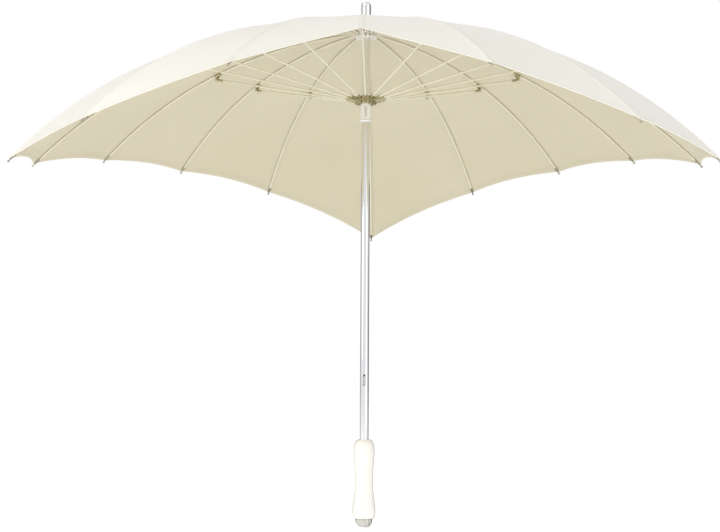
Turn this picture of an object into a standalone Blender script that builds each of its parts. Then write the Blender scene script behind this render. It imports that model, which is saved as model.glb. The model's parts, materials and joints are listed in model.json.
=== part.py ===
"""Heart-shaped stick parasol with sixteen ribs, modelled open. Metres, +Z up.

The origin is the centre of the flat at the foot of the handle. The shaft stands on the Z axis, the
heart's notch is at -Y and its point at +Y. Each spoke is an upper rib hinged in the top notch, a
springy lower rib that continues it, and a stretcher that runs back to the runner on the shaft.
"""

import math

import bmesh
import bpy
from mathutils import Matrix, Vector

# Driving dimensions
TOTAL_LENGTH = 0.850
SPOKE_COUNT = 16
FABRIC_TOP = 0.803
DROP_SQUARE = 0.140
DROP_FOURTH = 0.038
DROP_RADIUS = 0.500
# Reach of the rib tips from the notch, round one side, to the point of the heart.
HEART_REACH = (0.365, 0.465, 0.543, 0.572, 0.547, 0.509, 0.504, 0.528, 0.603)

# Canopy
FABRIC_THICKNESS = 0.0006
FABRIC_HOLE = 0.0095
HEM_SETBACK = 0.008
HEM_SCALLOP = 0.022
FABRIC_COLUMNS = 3
CONTACT_GAP = 0.0003
# The ribs and the fabric are straight between the same radii, so that the gap between them is even.
INNER_RADII = (0.030, 0.080, 0.130, 0.180, 0.230, 0.277)
OUTER_STEPS = 3

# Ribs and stretchers
RIB_RADIUS = 0.0017
SLEEVE_RADIUS = 0.0027
SLEEVE_LENGTH = 0.016
RIB_DEPTH = FABRIC_THICKNESS + SLEEVE_RADIUS + 2 * CONTACT_GAP
STRETCHER_RADIUS = 0.0016
JOINT_RADIUS = 0.281
JOINT_OFFSET = 0.006
NOTCH_PIVOT_RADIUS = 0.013
RUNNER_PIVOT_RADIUS = 0.014
EYE_THICKNESS = 0.0014
EYE_RADIUS = 0.0022
EYE_HOLE_RADIUS = 0.0009
EYE_LENGTH = 0.013
EYE_STEPS = 7
PIN_RADIUS = 0.0006
CHEEK_THICKNESS = 0.0008
CHEEK_GAP = 0.0003
FLEX_GAP = 0.0012
TIP_RADIUS = 0.0022
TIP_BALL_RADIUS = 0.0025
TIP_LENGTH = 0.014

# Shaft and what is fixed to it
SHAFT_RADIUS = 0.007
SHAFT_WALL = 0.001
SHAFT_BOTTOM = 0.030
SHAFT_TOP = 0.836
FERRULE_BOTTOM = 0.8065
FERRULE_RADIUS = 0.0078
FERRULE_FOOT_RADIUS = 0.0098
NOTCH_RADIUS = 0.0175
NOTCH_BOTTOM = 0.7905
NOTCH_TOP = 0.8012
NOTCH_PIVOT_HEIGHT = 0.7965
NOTCH_SLOT_FLOOR = 0.0102
SLOT_WIDTH = 0.0022
ROSETTE_RADIUS = 0.024

# Runner
RUNNER_PIVOT_HEIGHT = 0.687
RUNNER_BOTTOM = 0.652
RUNNER_TOP = 0.6945
RUNNER_BORE = 0.0073
RUNNER_RADIUS = 0.0084
COLLAR_RADIUS = 0.0100
COLLAR_HEIGHT = 0.004
CROWN_BOTTOM = 0.6815
CROWN_TOP = 0.6935
CROWN_RADIUS = 0.0180
CROWN_SLOT_FLOOR = 0.0112
WINDOW_WIDTH = 0.0034
WINDOW_BOTTOM = 0.6600
WINDOW_TOP = 0.6765

# Catch: a flat spring inside the shaft with a nose that stands out of a slot
CATCH_WIDTH = 0.0022
CATCH_SLOT_WIDTH = 0.0032
CATCH_NOSE = 0.0096
CATCH_THICKNESS = 0.0011
CATCH_LENGTH = 0.026
CATCH_LEDGE = 0.2267
NOSE_RISE = 0.0125

# Handle: radius and height pairs of the turned profile, from the neck down
HANDLE_TOP = 0.139
HANDLE_BOTTOM = 0.0135
HANDLE_PROFILE = (
    (0.0105, 0.1390), (0.0142, 0.1365), (0.0164, 0.1310), (0.0172, 0.1220), (0.0169, 0.1120),
    (0.0158, 0.0990), (0.0148, 0.0860), (0.0145, 0.0740), (0.0150, 0.0610), (0.0164, 0.0480),
    (0.0180, 0.0360), (0.0187, 0.0270), (0.0183, 0.0200), (0.0170, 0.0155), (0.0150, 0.0135),
)
HANDLE_BORE = 0.0073
CAP_RADIUS = 0.0138
CAP_FLAT_RADIUS = 0.0060
CAP_SPIGOT_RADIUS = 0.0070

TURN_STEPS = 20
# The turn about Z that carries +X to the side of the notch.
FRONT_TURN = -math.pi / 2
FRONT = Matrix.Rotation(FRONT_TURN, 4, "Z")


# Shape of the canopy

def canopy_drop(radius):
    """How far the fabric lies below its top at this distance from the shaft, along a rib."""
    share = radius / DROP_RADIUS
    return DROP_SQUARE * share**2 + DROP_FOURTH * share**4


def canopy_slope(radius):
    """The angle of the fabric below the horizontal at this distance from the shaft."""
    share = radius / DROP_RADIUS
    return math.atan((2 * DROP_SQUARE * share + 4 * DROP_FOURTH * share**3) / DROP_RADIUS)


def rib_point(radius):
    """A point of a rib's centre line in its own plane, below the fabric at this radius."""
    slope = canopy_slope(radius)
    return Vector((
        radius - RIB_DEPTH * math.sin(slope),
        0,
        FABRIC_TOP - canopy_drop(radius) - RIB_DEPTH * math.cos(slope),
    ))


def spoke_reach(index):
    """The reach of spoke number index, counted right round from the notch."""
    return HEART_REACH[min(index, SPOKE_COUNT - index)]


def spoke_angle(index):
    """The turn about Z that carries the plane +X, +Z to spoke number index."""
    return 2 * math.pi * index / SPOKE_COUNT - math.pi / 2


def spoke_name(part, index):
    return f"{part}_{index + 1:02d}"


FLEX_PIVOT = rib_point(JOINT_RADIUS + JOINT_OFFSET * math.sin(canopy_slope(JOINT_RADIUS)))
JOINT_SLOPE = canopy_slope(JOINT_RADIUS)
JOINT_PIVOT = FLEX_PIVOT - JOINT_OFFSET * Vector((math.sin(JOINT_SLOPE), 0, math.cos(JOINT_SLOPE)))
LOWER_START = FLEX_PIVOT.x + RIB_DEPTH * math.sin(JOINT_SLOPE) + FLEX_GAP * math.cos(JOINT_SLOPE)
NOTCH_PIVOT = Vector((NOTCH_PIVOT_RADIUS, 0, NOTCH_PIVOT_HEIGHT))
RUNNER_PIVOT = Vector((RUNNER_PIVOT_RADIUS, 0, RUNNER_PIVOT_HEIGHT))


# Blender helpers

def clear_scene():
    for obj in list(bpy.data.objects):
        bpy.data.objects.remove(obj)


def make_material(name, color, roughness, metallic=0.0):
    material = bpy.data.materials.new(name)
    material.use_nodes = True
    shader = material.node_tree.nodes["Principled BSDF"]
    shader.inputs["Base Color"].default_value = (*color, 1)
    shader.inputs["Roughness"].default_value = roughness
    shader.inputs["Metallic"].default_value = metallic
    return material


def make_collection(name):
    collection = bpy.data.collections.new(name)
    bpy.context.scene.collection.children.link(collection)
    return collection


def place(name, data, material=None, location=(0, 0, 0), turn=0.0, parent=None, home=None):
    """A new object around this mesh or curve, in the collection of parts unless another is given."""
    obj = bpy.data.objects.new(name, data)
    (home or parts).objects.link(obj)
    if material and not data.materials:
        data.materials.append(material)
    obj.location = location
    obj.rotation_euler.z = turn
    obj.parent = parent
    return obj


def smooth(mesh, angle=math.radians(35)):
    mesh.shade_smooth()
    mesh.set_sharp_from_angle(angle=angle)


def evaluated_mesh(obj):
    """The object's mesh with its modifiers applied, as a new mesh in its own frame."""
    bpy.context.view_layer.update()
    graph = bpy.context.evaluated_depsgraph_get()
    mesh = bpy.data.meshes.new_from_object(obj.evaluated_get(graph))
    work = bmesh.new()
    work.from_mesh(mesh)
    bmesh.ops.remove_doubles(work, verts=work.verts, dist=1e-6)
    work.to_mesh(mesh)
    work.free()
    return mesh


def turned_profile(points, steps=TURN_STEPS):
    """A mesh turned about Z from a profile of radius and height pairs that runs down its outer side."""
    mesh = bpy.data.meshes.new("profile")
    closed = points[0][0] > 0 and points[-1][0] > 0
    edges = [(i, i + 1) for i in range(len(points) - 1)]
    if closed:
        edges.append((len(points) - 1, 0))
    mesh.from_pydata([(radius, 0, height) for radius, height in points], edges, [])
    obj = place("turning", mesh, home=cutters)
    screw = obj.modifiers.new("turn", "SCREW")
    screw.axis = "Z"
    screw.steps = screw.render_steps = steps
    screw.use_merge_vertices = True
    screw.merge_threshold = 1e-5
    return settle(obj)


def settle(obj):
    """The evaluated mesh of a helper object, which is then removed. The helper's place is kept."""
    mesh = evaluated_mesh(obj)
    mesh.transform(obj.matrix_world)
    bpy.data.objects.remove(obj)
    return mesh


def rod(points, radius, resolution=1):
    """A round bar along these points, with closed ends, as a mesh."""
    curve = bpy.data.curves.new("rod", "CURVE")
    curve.dimensions = "3D"
    curve.bevel_depth = radius
    curve.bevel_resolution = resolution
    curve.use_fill_caps = True
    spline = curve.splines.new("POLY")
    spline.points.add(len(points) - 1)
    for target, point in zip(spline.points, points):
        target.co = (*point, 1)
    return settle(place("rod", curve, home=cutters))


def plate(outlines, thickness):
    """A flat plate in the plane of X and Z, with each outline after the first as a hole."""
    curve = bpy.data.curves.new("plate", "CURVE")
    curve.dimensions = "2D"
    curve.fill_mode = "BOTH"
    curve.extrude = thickness / 2
    for outline in outlines:
        spline = curve.splines.new("POLY")
        spline.points.add(len(outline) - 1)
        for target, (x, z) in zip(spline.points, outline):
            target.co = (x, z, 0, 1)
        spline.use_cyclic_u = True
    obj = place("plate", curve, home=cutters)
    obj.rotation_euler.x = math.pi / 2
    return settle(obj)


def box(size, centre):
    mesh = bpy.data.meshes.new("box")
    work = bmesh.new()
    bmesh.ops.create_cube(work, size=1, matrix=Matrix.Translation(centre) @ Matrix.Diagonal((*size, 1)))
    work.to_mesh(mesh)
    work.free()
    return mesh


def circle(radius, centre, count=6):
    return [
        (centre[0] + radius * math.cos(turn), centre[1] + radius * math.sin(turn))
        for turn in (2 * math.pi * step / count for step in range(count))
    ]


def combine(base, others, operation="UNION"):
    """The union of these meshes, or the first less the others, by the exact solver."""
    body = place("body", base, home=cutters)
    helpers = []
    for mesh in others:
        helper = place("helper", mesh, home=cutters)
        helper.display_type = "WIRE"
        cut = body.modifiers.new("step", "BOOLEAN")
        cut.solver = "EXACT"
        cut.operation = operation
        cut.object = helper
        helpers.append(helper)
    mesh = settle(body)
    for helper in helpers:
        bpy.data.objects.remove(helper)
    return mesh


def moved(mesh, matrix):
    mesh.transform(matrix)
    return mesh


# Canopy

def outer_radii(reach):
    """The radii between which a lower rib and the fabric on it are straight, to the rib's end."""
    last = reach - TIP_LENGTH * math.cos(canopy_slope(reach))
    return [LOWER_START + (last - LOWER_START) * step / OUTER_STEPS for step in range(OUTER_STEPS + 1)]


def fabric_radii(reach):
    return [FABRIC_HOLE, *INNER_RADII, *outer_radii(reach), reach - HEM_SETBACK]


def fabric_point(spoke, row, pulled_in):
    """A point of the fabric over a spoke. The hem's row is drawn in by this share of its reach."""
    radii = fabric_radii(spoke_reach(spoke % SPOKE_COUNT))
    radius = radii[row] * (1 - pulled_in * row / (len(radii) - 1))
    turn = spoke_angle(spoke)
    return Vector((radius * math.cos(turn), radius * math.sin(turn), FABRIC_TOP - canopy_drop(radius)))


def make_canopy(material):
    """One sewn sheet of sixteen gores, each straight from rib to rib, with a scalloped hem."""
    columns = SPOKE_COUNT * FABRIC_COLUMNS
    rows = len(fabric_radii(HEART_REACH[0]))
    verts = []
    for row in range(rows):
        for column in range(columns):
            index, step = divmod(column, FABRIC_COLUMNS)
            across = step / FABRIC_COLUMNS
            pulled_in = HEM_SCALLOP * 4 * across * (1 - across)
            left, right = (fabric_point(index + side, row, pulled_in) for side in (0, 1))
            verts.append(left.lerp(right, across))
    faces = []
    for row in range(rows - 1):
        for column in range(columns):
            right = (column + 1) % columns
            faces.append((
                row * columns + column,
                (row + 1) * columns + column,
                (row + 1) * columns + right,
                row * columns + right,
            ))
    mesh = bpy.data.meshes.new("canopy")
    mesh.from_pydata(verts, [], faces)
    smooth(mesh)
    canopy = place("canopy", mesh, material)
    solidify = canopy.modifiers.new("cloth", "SOLIDIFY")
    solidify.thickness = FABRIC_THICKNESS
    solidify.offset = -1
    return canopy


def make_rosette(material):
    """The small disc of cloth between the canopy and the ferrule."""
    top = FABRIC_TOP + CONTACT_GAP
    profile = [
        (FABRIC_HOLE, top + 0.0008),
        (ROSETTE_RADIUS, top + 0.0003),
        (ROSETTE_RADIUS, top),
        (FABRIC_HOLE, top),
    ]
    mesh = turned_profile(profile)
    smooth(mesh)
    return place("top_rosette", mesh, material)


# Spokes

def eye(centre, direction, length):
    """A flat link: a ring round a hole at centre, and a tongue along direction."""
    along = Vector((direction.x, direction.z)).normalized()
    side = Vector((-along.y, along.x))
    middle = Vector((centre.x, centre.z))
    half = EYE_RADIUS / 2
    round_end = []
    for step in range(EYE_STEPS):
        turn = math.pi * (0.25 + 1.5 * step / (EYE_STEPS - 1))
        round_end.append(middle + EYE_RADIUS * (math.cos(turn) * along + math.sin(turn) * side))
    tongue = [middle + length * along - half * side, middle + length * along + half * side]
    outline = [tuple(point) for point in round_end + tongue]
    hole = circle(EYE_HOLE_RADIUS, middle)[::-1]
    return plate([outline, hole], EYE_THICKNESS)


def upper_rib_mesh():
    """The upper rib in the plane of X and Z: an eye in the notch, a rod, and the joint's bracket."""
    first = rib_point(INNER_RADII[0])
    path = [NOTCH_PIVOT + (first - NOTCH_PIVOT) * 0.45]
    path += [rib_point(radius) for radius in INNER_RADII]
    slope = JOINT_SLOPE
    along = Vector((math.cos(slope), 0, -math.sin(slope)))
    down = Vector((-math.sin(slope), 0, -math.cos(slope)))
    sleeve_end = FLEX_PIVOT - along * CONTACT_GAP
    sleeve = rod([sleeve_end - along * SLEEVE_LENGTH, sleeve_end], SLEEVE_RADIUS)
    pieces = [eye(NOTCH_PIVOT, first - NOTCH_PIVOT, 0.010), sleeve]
    cheek_offset = EYE_THICKNESS / 2 + CHEEK_GAP + CHEEK_THICKNESS / 2
    for side in (-1, 1):
        foot = JOINT_PIVOT + down * EYE_RADIUS
        outline = [
            foot + along * EYE_RADIUS,
            foot + along * EYE_RADIUS - down * 0.0045,
            sleeve_end - along * 0.001 + down * 0.001,
            sleeve_end - along * 0.013 + down * 0.001,
            foot - along * EYE_RADIUS,
        ]
        cheek = plate([[(point.x, point.z) for point in outline]], CHEEK_THICKNESS)
        pieces.append(moved(cheek, Matrix.Translation((0, side * cheek_offset, 0))))
    reach = Vector((0, cheek_offset + CHEEK_THICKNESS / 2 - 0.0001, 0))
    pieces.append(rod([JOINT_PIVOT - reach, JOINT_PIVOT + reach], PIN_RADIUS))
    return combine(rod(path, RIB_RADIUS), pieces)


def lower_rib_mesh(reach):
    """The springy lower rib in the plane of X and Z, with the tip that holds the hem."""
    slope = canopy_slope(reach)
    along = Vector((math.cos(slope), 0, -math.sin(slope)))
    path = [rib_point(radius) for radius in outer_radii(reach)]
    end = path[-1]
    neck = end + along * (TIP_LENGTH - TIP_BALL_RADIUS * 2)
    ball = bpy.data.meshes.new("ball")
    work = bmesh.new()
    bmesh.ops.create_uvsphere(
        work, u_segments=8, v_segments=4, radius=TIP_BALL_RADIUS,
        matrix=Matrix.Translation(end + along * (TIP_LENGTH - TIP_BALL_RADIUS)),
    )
    work.to_mesh(ball)
    work.free()
    cup = rod([end - along * 0.004, neck + along * 0.001], TIP_RADIUS)
    return combine(rod(path, RIB_RADIUS), [cup, ball])


def stretcher_mesh():
    """The stretcher in the plane of X and Z, from the joint's pin to the runner's pivot."""
    along = (RUNNER_PIVOT - JOINT_PIVOT).normalized()
    inset = along * (EYE_LENGTH - 0.004)
    bar = rod([JOINT_PIVOT + inset, RUNNER_PIVOT - inset], STRETCHER_RADIUS)
    return combine(bar, [
        eye(JOINT_PIVOT, along, EYE_LENGTH),
        eye(RUNNER_PIVOT, -along, EYE_LENGTH),
    ])


def make_spokes(ivory):
    """Sixteen spokes. Each piece has its origin on its hinge, and shares its mesh where it can."""
    upper = moved(upper_rib_mesh(), Matrix.Translation(-NOTCH_PIVOT))
    stretcher = moved(stretcher_mesh(), Matrix.Translation(-JOINT_PIVOT))
    lowers = {
        reach: moved(lower_rib_mesh(reach), Matrix.Translation(-FLEX_PIVOT))
        for reach in sorted(set(HEART_REACH))
    }
    for mesh in (upper, stretcher, *lowers.values()):
        mesh.materials.clear()
        mesh.materials.append(ivory)
        smooth(mesh)
    for index in range(SPOKE_COUNT):
        turn = spoke_angle(index)
        spin = Matrix.Rotation(turn, 3, "Z")
        for part, mesh, pivot in (
            ("rib_upper", upper, NOTCH_PIVOT),
            ("rib_lower", lowers[spoke_reach(index)], FLEX_PIVOT),
            ("stretcher", stretcher, JOINT_PIVOT),
        ):
            place(spoke_name(part, index), mesh, location=spin @ pivot, turn=turn)


# Shaft

def slotted_ring(radius, bore, bottom, top, slot_floor, groove_height):
    """A ring with a slot for each spoke and a groove round it for the wire that holds the eyes."""
    middle = groove_height
    groove = 0.0016
    profile = [
        (bore, top),
        (radius - 0.001, top),
        (radius, top - 0.001),
        (radius, middle + groove),
        (radius - 0.0012, middle + groove / 2),
        (radius - 0.0012, middle - groove / 2),
        (radius, middle - groove),
        (radius, bottom + 0.001),
        (radius - 0.001, bottom),
        (bore, bottom),
    ]
    ring = turned_profile(profile, 32)
    length = radius - slot_floor + 0.004
    cutters_meshes = []
    for index in range(SPOKE_COUNT):
        slot = box(
            (length, SLOT_WIDTH, top - bottom + 0.004),
            (slot_floor + length / 2, 0, (top + bottom) / 2),
        )
        cutters_meshes.append(moved(slot, Matrix.Rotation(spoke_angle(index), 4, "Z")))
    return combine(ring, cutters_meshes, "DIFFERENCE")


def make_shaft(material):
    """The shaft tube, with the slot that the catch's nose stands out of."""
    bore = SHAFT_RADIUS - SHAFT_WALL
    tube = turned_profile([
        (bore, SHAFT_TOP), (SHAFT_RADIUS, SHAFT_TOP), (SHAFT_RADIUS, SHAFT_BOTTOM), (bore, SHAFT_BOTTOM),
    ], 24)
    low, high = CATCH_LEDGE - 0.002, CATCH_LEDGE + NOSE_RISE + 0.003
    slot = box((0.008, CATCH_SLOT_WIDTH, high - low), (SHAFT_RADIUS, 0, (low + high) / 2))
    mesh = combine(tube, [moved(slot, FRONT)], "DIFFERENCE")
    smooth(mesh)
    return place("shaft_tube", mesh, material)


def make_catch(material):
    """A flat spring inside the shaft, whose wedge-shaped nose has its ledge at the bottom."""
    inner = SHAFT_RADIUS - SHAFT_WALL - 0.0024
    foot = -0.0020
    mesh = plate([[
        (inner, 0.0),
        (CATCH_NOSE, 0.0),
        (CATCH_NOSE, 0.002),
        (inner + 0.0022, NOSE_RISE),
        (inner + 0.0002, NOSE_RISE),
        (foot, CATCH_LENGTH),
        (foot - CATCH_THICKNESS, CATCH_LENGTH),
        (inner - CATCH_THICKNESS - 0.0002, NOSE_RISE),
    ]], CATCH_WIDTH)
    place("lower_catch", mesh, material, location=(0, 0, CATCH_LEDGE), turn=FRONT_TURN)


def make_fixed_parts(steel, dark_brass, chrome, gloss):
    make_shaft(steel)
    make_catch(chrome)
    notch = slotted_ring(
        NOTCH_RADIUS, SHAFT_RADIUS + CONTACT_GAP, NOTCH_BOTTOM, NOTCH_TOP,
        NOTCH_SLOT_FLOOR, NOTCH_PIVOT_HEIGHT,
    )
    place("top_notch", notch, dark_brass)

    bore = SHAFT_RADIUS + CONTACT_GAP
    ferrule = turned_profile([
        (0, TOTAL_LENGTH),
        (FERRULE_RADIUS - 0.0030, TOTAL_LENGTH),
        (FERRULE_RADIUS - 0.0008, TOTAL_LENGTH - 0.0008),
        (FERRULE_RADIUS, TOTAL_LENGTH - 0.0030),
        (FERRULE_RADIUS, FERRULE_BOTTOM + 0.016),
        (FERRULE_FOOT_RADIUS, FERRULE_BOTTOM + 0.003),
        (FERRULE_FOOT_RADIUS + 0.0012, FERRULE_BOTTOM),
        (bore, FERRULE_BOTTOM),
        (bore, SHAFT_TOP + 0.001),
        (0, SHAFT_TOP + 0.001),
    ])
    smooth(ferrule)
    place("ferrule", ferrule, chrome)

    handle = turned_profile([*HANDLE_PROFILE, (HANDLE_BORE, HANDLE_BOTTOM), (HANDLE_BORE, HANDLE_TOP)])
    smooth(handle)
    place("handle_grip", handle, gloss)

    seat = HANDLE_BOTTOM - CONTACT_GAP
    cap = turned_profile([
        (0, SHAFT_BOTTOM - CONTACT_GAP),
        (CAP_SPIGOT_RADIUS, SHAFT_BOTTOM - CONTACT_GAP),
        (CAP_SPIGOT_RADIUS, seat),
        (CAP_RADIUS, seat),
        (CAP_RADIUS, 0.0105),
        (CAP_RADIUS * 0.93, 0.0060),
        (CAP_RADIUS * 0.76, 0.0022),
        (CAP_FLAT_RADIUS, 0.0),
        (0, 0.0),
    ])
    smooth(cap)
    place("handle_cap", cap, chrome)


def make_runner(steel, dark_brass):
    """The runner: a sleeve with a rolled collar at its foot, and the slotted crown on it."""
    sleeve = turned_profile([
        (RUNNER_BORE, RUNNER_TOP),
        (RUNNER_RADIUS, RUNNER_TOP),
        (RUNNER_RADIUS, RUNNER_BOTTOM + COLLAR_HEIGHT),
        (COLLAR_RADIUS, RUNNER_BOTTOM + COLLAR_HEIGHT * 0.7),
        (COLLAR_RADIUS, RUNNER_BOTTOM + COLLAR_HEIGHT * 0.3),
        (RUNNER_RADIUS + 0.0004, RUNNER_BOTTOM),
        (RUNNER_BORE, RUNNER_BOTTOM),
    ], 24)
    window = box(
        (0.008, WINDOW_WIDTH, WINDOW_TOP - WINDOW_BOTTOM),
        (RUNNER_RADIUS, 0, (WINDOW_TOP + WINDOW_BOTTOM) / 2),
    )
    mesh = combine(sleeve, [moved(window, FRONT)], "DIFFERENCE")
    smooth(mesh)
    place("runner_sleeve", mesh, steel)
    crown = slotted_ring(
        CROWN_RADIUS, RUNNER_RADIUS + CONTACT_GAP, CROWN_BOTTOM, CROWN_TOP,
        CROWN_SLOT_FLOOR, RUNNER_PIVOT_HEIGHT,
    )
    place("runner_crown", crown, dark_brass)


def build():
    cloth = make_material("ivory_cloth", (0.86, 0.82, 0.72), 0.85)
    ivory = make_material("ivory_paint", (0.88, 0.84, 0.72), 0.45)
    brass = make_material("dark_brass", (0.36, 0.32, 0.20), 0.40, 0.8)
    steel = make_material("brushed_aluminium", (0.78, 0.79, 0.80), 0.28, 1.0)
    chrome = make_material("chrome", (0.80, 0.81, 0.83), 0.12, 1.0)
    gloss = make_material("ivory_gloss", (0.93, 0.91, 0.86), 0.22)
    make_canopy(cloth)
    make_rosette(cloth)
    make_spokes(ivory)
    make_fixed_parts(steel, brass, chrome, gloss)
    make_runner(steel, brass)


clear_scene()
parts = make_collection("heart_parasol")
cutters = make_collection("helpers")
build()
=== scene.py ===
"""Heart-shaped ivory parasol with sixteen ribs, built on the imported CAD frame. Metres, +Z up."""

import json
import math
import bmesh  # noqa: E402
import bpy  # noqa: E402
import numpy as np  # noqa: E402
from mathutils import Matrix, Vector  # noqa: E402

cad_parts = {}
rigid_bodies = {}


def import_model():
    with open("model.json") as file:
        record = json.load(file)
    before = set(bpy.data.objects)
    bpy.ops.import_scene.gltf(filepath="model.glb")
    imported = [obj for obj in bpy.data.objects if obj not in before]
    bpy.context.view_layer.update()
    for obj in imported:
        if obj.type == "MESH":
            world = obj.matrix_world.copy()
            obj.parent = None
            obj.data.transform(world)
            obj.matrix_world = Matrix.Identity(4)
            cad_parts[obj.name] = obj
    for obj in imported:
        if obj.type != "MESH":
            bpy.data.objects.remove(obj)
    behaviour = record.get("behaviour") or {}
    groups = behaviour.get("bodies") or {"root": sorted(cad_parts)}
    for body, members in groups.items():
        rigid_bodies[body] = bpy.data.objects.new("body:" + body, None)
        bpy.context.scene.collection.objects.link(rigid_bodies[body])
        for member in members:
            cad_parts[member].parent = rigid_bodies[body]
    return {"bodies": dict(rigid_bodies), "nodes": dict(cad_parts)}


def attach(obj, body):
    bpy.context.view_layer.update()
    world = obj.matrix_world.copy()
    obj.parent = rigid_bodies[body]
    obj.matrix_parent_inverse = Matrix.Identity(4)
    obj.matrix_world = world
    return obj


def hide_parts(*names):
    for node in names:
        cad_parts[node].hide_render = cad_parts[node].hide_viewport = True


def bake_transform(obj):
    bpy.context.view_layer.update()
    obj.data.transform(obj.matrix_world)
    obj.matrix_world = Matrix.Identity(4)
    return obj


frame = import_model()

# The shape of the canopy and its spokes, as the CAD model has it. Along a rib, the cloth's drop below the
# top is a sum of a square and a fourth power of the radius. REACHES runs from the notch to the point.
SPOKES = 16
FABRIC_TOP = 0.803
DROP_SQUARE = 0.140
DROP_FOURTH = 0.038
DROP_RADIUS = 0.500
REACHES = (0.365, 0.465, 0.543, 0.572, 0.547, 0.509, 0.504, 0.528, 0.603)
RIB_DEPTH = 0.0039
RIB_RADIUS = 0.0017
TIP_LENGTH = 0.014
HEM_SETBACK = 0.0036
JOINT_RADIUS = 0.281
JOINT_OFFSET = 0.006
NOTCH_PIVOT = Vector((0.013, 0, 0.7965))
RUNNER_PIVOT = Vector((0.014, 0, 0.687))
STRETCHER_RADIUS = 0.0016
SHAFT_RADIUS = 0.0070
SHAFT_BORE = 0.0060
SHAFT_ENDS = (0.030, 0.836)
HANDLE_ENDS = (0.0135, 0.1390)
CATCH_SLOT = (0.0032, 0.2247, 0.2422)
RUNNER_RADIUS = 0.0084
RUNNER_WINDOW = (0.0034, 0.6600, 0.6765)
WINDOW_DEPTH = 0.008

# The shown rods. They lie a little nearer the cloth than the CAD's do.
ROD_DEPTH = 0.0033
ROD_BEND = 0.030
ROD_STEP = 0.011
ROD_LAP = 0.004
TIP_BALL = 0.0018
CHEEK_OFFSET = 0.0014
CHEEK_RADIUS = 0.0024
CHEEK_HALF_THICKNESS = 0.0004
TIE_RADII = (0.120, 0.205)
OUTER_TIE_FROM = 0.300
OUTER_TIE_TIP_GAP = 0.035
TIE_TURNS = 3
TIE_STEPS = 48
TIE_WIDTH = 0.0024
THREAD_RADIUS = 0.00035
THREAD_LIFT = 0.0003

# Cloth. The last rows mark out the hem, and the first columns beside each rib mark out its seam.
CLOTH_HOLE = 0.0096
CLOTH_THICKNESS = 0.0005
CLOTH_LIFT = 0.0006
SEAM_HALF_WIDTH = 0.0034
SEAM_HEIGHT = 0.0004
SEAM_ALLOWANCE = 0.0005
SEAM_STITCH_OFFSET = 0.0023
STITCH_PITCH = 0.0034
HEM_WIDTH = 0.0075
HEM_STITCH_OFFSET = 0.0060
HEM_FOLD = 0.0004
SCALLOP = 0.013
NOTCH_SCALLOP = 0.004
GORE_SAG = 0.0006
SKIN_ZONE = 0.030
THREAD_PITCH = 0.0009
HEM_SHARE = 0.016
HEM_ROWS = (0.12, 0.55, 1.0)
ROWS = 44
HALF_COLUMNS = 12
SEAM_COLUMNS = (0.0, 0.45, 0.9, 1.15)
ROSETTE_RADIUS = 0.0236
ROSETTE_FOLDS = 24

# How slack cloth lies: it sags in between the ribs, then rolls round the bundle as the ribs close.
# The roll begins and ends where the cloth's radius has shrunk by these shares.
SAG_IN = 0.60
SAG_DOWN = 0.45
ROLL_FROM = 0.48
ROLL_TO = 0.64
ROLL_GROWTH = 0.12
SLACK_FLOOR = 1e-6

# The photograph's view
CAMERA_PLACE = (0.048, -2.3265, 0.227)
CAMERA_TURN = math.radians(1.38)
CAMERA_TILT = math.radians(94.67)
CAMERA_ROLL = math.radians(0.29)
CAMERA_LENS = 72.25

# The studio. A flag is (azimuth from +Y, half width, darkness), in degrees, and a light is (name, place,
# size, watts).
WORLD_LIGHT = 0.84
FLAGS = ((32, 46, 1.0), (-36, 34, 0.8), (108, 16, 0.45))
FLOOR_GLOW = 0.42
FLOOR_WHITER = 0.10
FLOOR_RADIUS = 14.0
LIGHT_AIM = Vector((0, 0, 0.6))
LIGHTS = (
    ("key", (-2.2, -2.4, 2.8), 2.0, 34),
    ("side", (-2.8, -1.7, 1.0), 1.3, 7),
    ("fill", (2.6, -2.0, 1.2), 2.4, 12),
    ("back", (0.8, 2.6, 2.6), 2.0, 20),
)


def note_size():
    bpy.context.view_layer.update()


note_size()


# Curves shared by the cloth and the ribs

def drop(radius):
    """How far the cloth lies below its top at this radius, along a rib."""
    share = radius / DROP_RADIUS
    return DROP_SQUARE * share**2 + DROP_FOURTH * share**4


def slope(radius):
    """The angle of the cloth below the horizontal, along a rib."""
    share = radius / DROP_RADIUS
    return math.atan((2 * DROP_SQUARE * share + 4 * DROP_FOURTH * share**3) / DROP_RADIUS)


def rib_point(radius, depth=RIB_DEPTH):
    """The point in the plane of X and Z this far below the cloth at this radius."""
    lean = slope(radius)
    return Vector((
        radius - depth * math.sin(lean),
        0,
        FABRIC_TOP - drop(radius) - depth * math.cos(lean),
    ))


def reach_of(index):
    """The radius of this spoke's tip. The canopy is its own mirror image across the YZ plane."""
    index %= SPOKES
    return REACHES[min(index, SPOKES - index)]


def angle_of(index):
    return 2 * math.pi * index / SPOKES - math.pi / 2


def spin_of(index):
    return Matrix.Rotation(angle_of(index), 4, "Z")


def spoke_body(part, index):
    return f"{part}_{index % SPOKES + 1:02d}"


FLEX_PIVOT = rib_point(JOINT_RADIUS + JOINT_OFFSET * math.sin(slope(JOINT_RADIUS)))
JOINT_LEAN = slope(JOINT_RADIUS)
JOINT_ALONG = Vector((math.cos(JOINT_LEAN), 0, -math.sin(JOINT_LEAN)))
JOINT_DOWN = Vector((-math.sin(JOINT_LEAN), 0, -math.cos(JOINT_LEAN)))
JOINT_PIVOT = FLEX_PIVOT + JOINT_DOWN * JOINT_OFFSET


# Materials

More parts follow.
